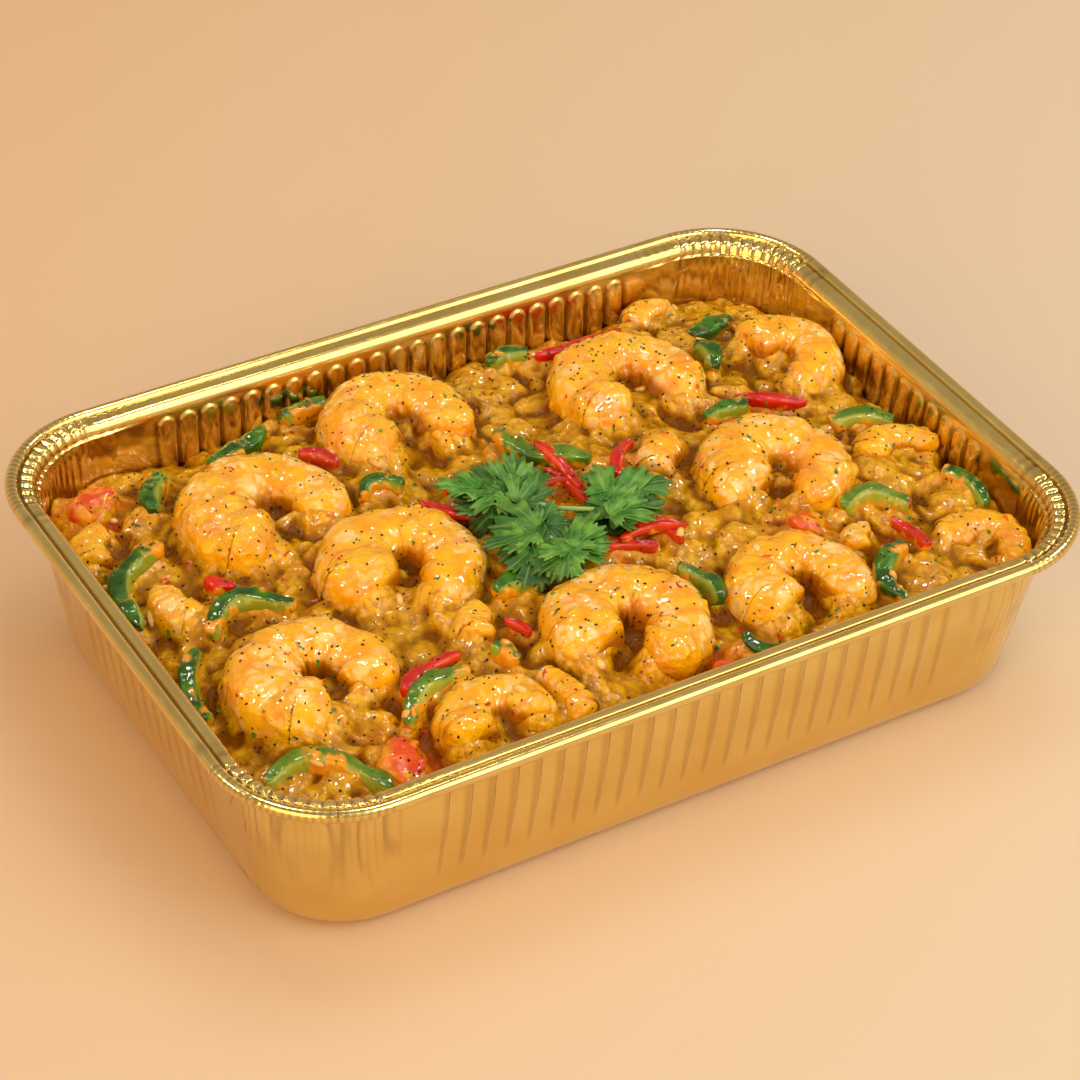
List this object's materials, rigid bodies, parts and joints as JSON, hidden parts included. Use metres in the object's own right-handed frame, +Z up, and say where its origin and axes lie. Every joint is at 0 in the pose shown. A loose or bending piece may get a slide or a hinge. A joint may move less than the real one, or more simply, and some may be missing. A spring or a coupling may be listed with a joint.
{
  "type": "foil tray meal",
  "caption": "Prawn curry in an oblong pressed foil tray with a rolled rim and fluted walls, topped with pepper and chilli strips and a sprig of parsley.",
  "frame": {"origin": "middle of the tray's underside, on the surface that it stands on", "axes": "+X along the tray, +Y across it, +Z up out of its open top"},
  "size_m": [0.214, 0.151, 0.046],
  "materials": {
    "gold_foil": "bright gold lacquer on pressed foil",
    "curry_sauce": "wet and lumpy",
    "cooked_prawn": "moist, coated with sauce",
    "green_pepper": "glossy skin",
    "red_chilli": "glossy skin",
    "tomato": "moist cut flesh",
    "parsley": "fresh leaf"
  },
  "bodies": {
    "root": {"foil_tray": "gold_foil", "curry_sauce": "curry_sauce", "prawn_01": "cooked_prawn", "prawn_02": "cooked_prawn", "prawn_03": "cooked_prawn", "prawn_04": "cooked_prawn", "prawn_05": "cooked_prawn", "prawn_06": "cooked_prawn", "prawn_07": "cooked_prawn", "prawn_08": "cooked_prawn", "prawn_09": "cooked_prawn", "prawn_10": "cooked_prawn", "sunk_prawn_01": "cooked_prawn", "sunk_prawn_02": "cooked_prawn", "sunk_prawn_03": "cooked_prawn", "sunk_prawn_04": "cooked_prawn", "sunk_prawn_05": "cooked_prawn", "sunk_prawn_06": "cooked_prawn", "sunk_prawn_07": "cooked_prawn", "sunk_prawn_08": "cooked_prawn", "sunk_prawn_09": "cooked_prawn", "pepper_01": "green_pepper", "pepper_02": "green_pepper", "pepper_03": "green_pepper", "pepper_04": "green_pepper", "pepper_05": "green_pepper", "pepper_06": "green_pepper", "pepper_07": "green_pepper", "pepper_08": "green_pepper", "pepper_09": "green_pepper", "pepper_10": "green_pepper", "pepper_11": "green_pepper", "pepper_12": "green_pepper", "pepper_13": "green_pepper", "pepper_14": "green_pepper", "pepper_15": "green_pepper", "pepper_16": "green_pepper", "pepper_17": "green_pepper", "pepper_18": "green_pepper", "pepper_19": "green_pepper", "pepper_20": "green_pepper", "pepper_21": "green_pepper", "pepper_22": "green_pepper", "chilli_01": "red_chilli", "chilli_02": "red_chilli", "chilli_03": "red_chilli", "chilli_04": "red_chilli", "chilli_05": "red_chilli", "chilli_06": "red_chilli", "chilli_07": "red_chilli", "chilli_08": "red_chilli", "chilli_09": "red_chilli", "chilli_10": "red_chilli", "chilli_11": "red_chilli", "chilli_12": "red_chilli", "tomato_01": "tomato", "tomato_02": "tomato", "tomato_03": "tomato", "tomato_04": "tomato", "parsley_sprig": "parsley"}
  },
  "joints": []
}
